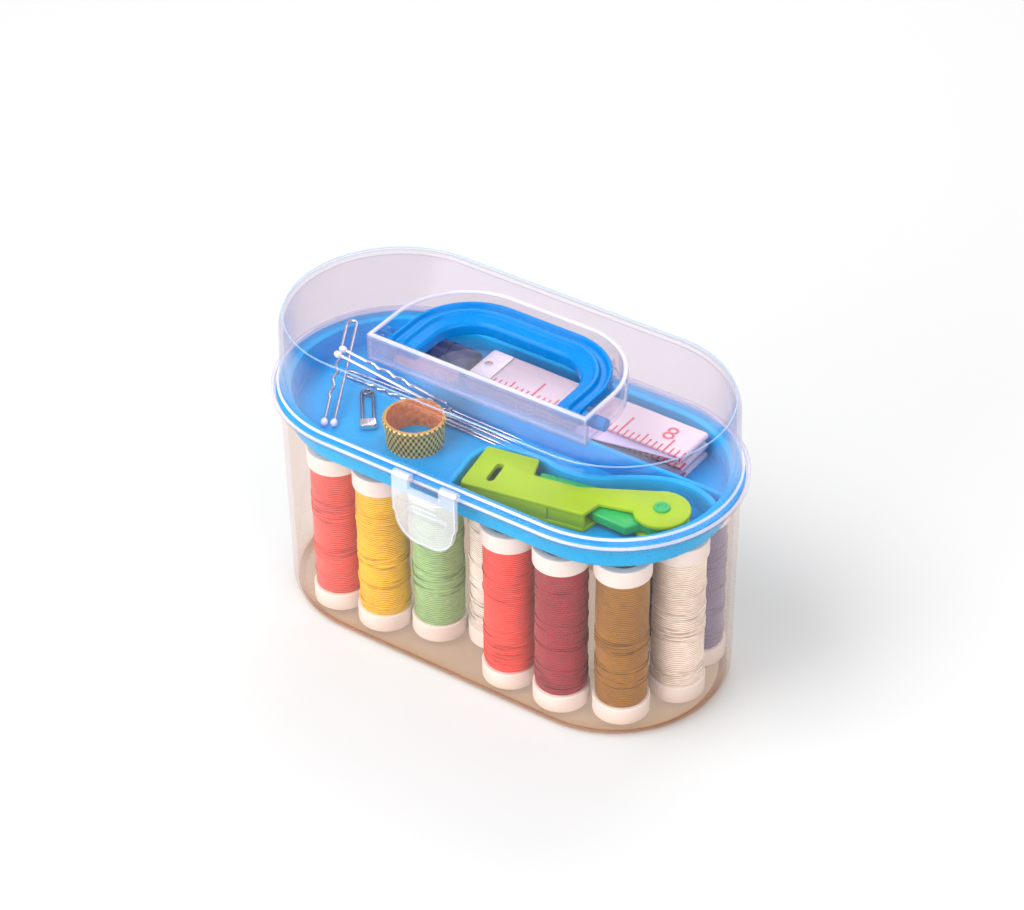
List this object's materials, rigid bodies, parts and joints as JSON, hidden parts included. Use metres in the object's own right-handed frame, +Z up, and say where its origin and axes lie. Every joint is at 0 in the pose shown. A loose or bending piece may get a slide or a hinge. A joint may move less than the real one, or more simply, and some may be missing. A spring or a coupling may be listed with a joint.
{
  "type": "sewing box",
  "caption": "Clear two-level sewing box with a lift-out tray, lift-off lid, fold-down handle, side latches, thread spools, snips, tape and pins.",
  "frame": {"origin": "middle of the base's underside, on the table", "axes": "+X along the box's long side, +Y from the front to the back, +Z up"},
  "size_m": [0.125, 0.0674, 0.08],
  "materials": {
    "clear_plastic": "smooth clear",
    "tray_blue": "gloss",
    "handle_blue": "gloss",
    "spool_white": "matte",
    "thread_red": "wound thread",
    "thread_yellow": "wound thread",
    "thread_green": "wound thread",
    "thread_white": "wound thread",
    "thread_coral": "wound thread",
    "thread_crimson": "wound thread",
    "thread_brown": "wound thread",
    "thread_beige": "wound thread",
    "thread_navy": "wound thread",
    "thread_black": "wound thread",
    "lime_plastic": "semi gloss",
    "green_plastic": "semi gloss",
    "thimble_brass": "knurled",
    "tape_white": "coated",
    "tip_steel": "brushed",
    "pin_steel": "bright",
    "cap_chrome": "bright",
    "white_plastic": "gloss",
    "card_slate": "matte",
    "case_navy": "gloss",
    "chalk_peach": "chalky"
  },
  "bodies": {
    "base": {"base_shell": "clear_plastic"},
    "spool_red": {"spool_red": "spool_white", "thread_red": "thread_red"},
    "spool_yellow": {"spool_yellow": "spool_white", "thread_yellow": "thread_yellow"},
    "spool_green": {"spool_green": "spool_white", "thread_green": "thread_green"},
    "spool_white": {"spool_white": "spool_white", "thread_white": "thread_white"},
    "spool_coral": {"spool_coral": "spool_white", "thread_coral": "thread_coral"},
    "spool_crimson": {"spool_crimson": "spool_white", "thread_crimson": "thread_crimson"},
    "spool_brown": {"spool_brown": "spool_white", "thread_brown": "thread_brown"},
    "spool_beige": {"spool_beige": "spool_white", "thread_beige": "thread_beige"},
    "spool_navy": {"spool_navy": "spool_white", "thread_navy": "thread_navy"},
    "spool_black": {"spool_black": "spool_white", "thread_black": "thread_black"},
    "tray": {"tray": "tray_blue", "snips_casing": "lime_plastic", "snips_rivet": "green_plastic", "thimble": "thimble_brass", "tape_measure": "tape_white", "tape_tip": "tip_steel", "bobby_pins": "pin_steel", "bobby_tips": "white_plastic", "safety_pins": "pin_steel", "safety_caps": "cap_chrome", "needles": "pin_steel", "pin_heads": "white_plastic", "needle_card": "card_slate", "needle_case": "case_navy", "chalk": "chalk_peach"},
    "snips_lever": {"snips_lever": "green_plastic"},
    "lid": {"lid": "clear_plastic"},
    "handle": {"handle": "handle_blue"},
    "latch_front": {"latch_front": "clear_plastic"},
    "latch_back": {"latch_back": "clear_plastic"}
  },
  "joints": [
    {"name": "tray_lift", "type": "slide", "parent": "base", "child": "tray", "axis": [0, 0, 1], "range_m": [0, 0.06]},
    {"name": "lid_lift", "type": "slide", "parent": "tray", "child": "lid", "axis": [0, 0, 1], "range_m": [0, 0.06]},
    {"name": "handle_swing", "type": "hinge", "parent": "lid", "child": "handle", "pos_m": [0, -0.0077, 0.0763], "axis": [1, 0, 0], "range_deg": [0, 90]},
    {"name": "latch_front_swing", "type": "hinge", "parent": "lid", "child": "latch_front", "pos_m": [0, -0.0325, 0.0607], "axis": [-1, 0, 0], "range_deg": [0, 110]},
    {"name": "latch_back_swing", "type": "hinge", "parent": "lid", "child": "latch_back", "pos_m": [0, 0.0325, 0.0607], "axis": [1, 0, 0], "range_deg": [0, 110]},
    {"name": "snips_squeeze", "type": "hinge", "parent": "tray", "child": "snips_lever", "pos_m": [0.04858, -0.00754, 0.0562], "axis": [0, 0, 1], "range_deg": [0, 6], "stiffness_Nm_per_rad": 0.05},
    {"name": "spool_red_turn", "type": "hinge", "parent": "base", "child": "spool_red", "pos_m": [-0.038, -0.0181, 0.0014], "axis": [0, 0, 1], "continuous": true},
    {"name": "spool_yellow_turn", "type": "hinge", "parent": "base", "child": "spool_yellow", "pos_m": [-0.0239, -0.0187, 0.0014], "axis": [0, 0, 1], "continuous": true},
    {"name": "spool_green_turn", "type": "hinge", "parent": "base", "child": "spool_green", "pos_m": [-0.0105, -0.0143, 0.0014], "axis": [0, 0, 1], "continuous": true},
    {"name": "spool_white_turn", "type": "hinge", "parent": "base", "child": "spool_white", "pos_m": [0.0029, -0.0092, 0.0014], "axis": [0, 0, 1], "continuous": true},
    {"name": "spool_coral_turn", "type": "hinge", "parent": "base", "child": "spool_coral", "pos_m": [0.014, -0.0192, 0.0014], "axis": [0, 0, 1], "continuous": true},
    {"name": "spool_crimson_turn", "type": "hinge", "parent": "base", "child": "spool_crimson", "pos_m": [0.0288, -0.0192, 0.0014], "axis": [0, 0, 1], "continuous": true},
    {"name": "spool_brown_turn", "type": "hinge", "parent": "base", "child": "spool_brown", "pos_m": [0.043, -0.0148, 0.0014], "axis": [0, 0, 1], "continuous": true},
    {"name": "spool_beige_turn", "type": "hinge", "parent": "base", "child": "spool_beige", "pos_m": [0.0498, -0.0008, 0.0014], "axis": [0, 0, 1], "continuous": true},
    {"name": "spool_navy_turn", "type": "hinge", "parent": "base", "child": "spool_navy", "pos_m": [0.0469, 0.0132, 0.0014], "axis": [0, 0, 1], "continuous": true},
    {"name": "spool_black_turn", "type": "hinge", "parent": "base", "child": "spool_black", "pos_m": [0.032, 0.008, 0.0014], "axis": [0, 0, 1], "continuous": true}
  ]
}
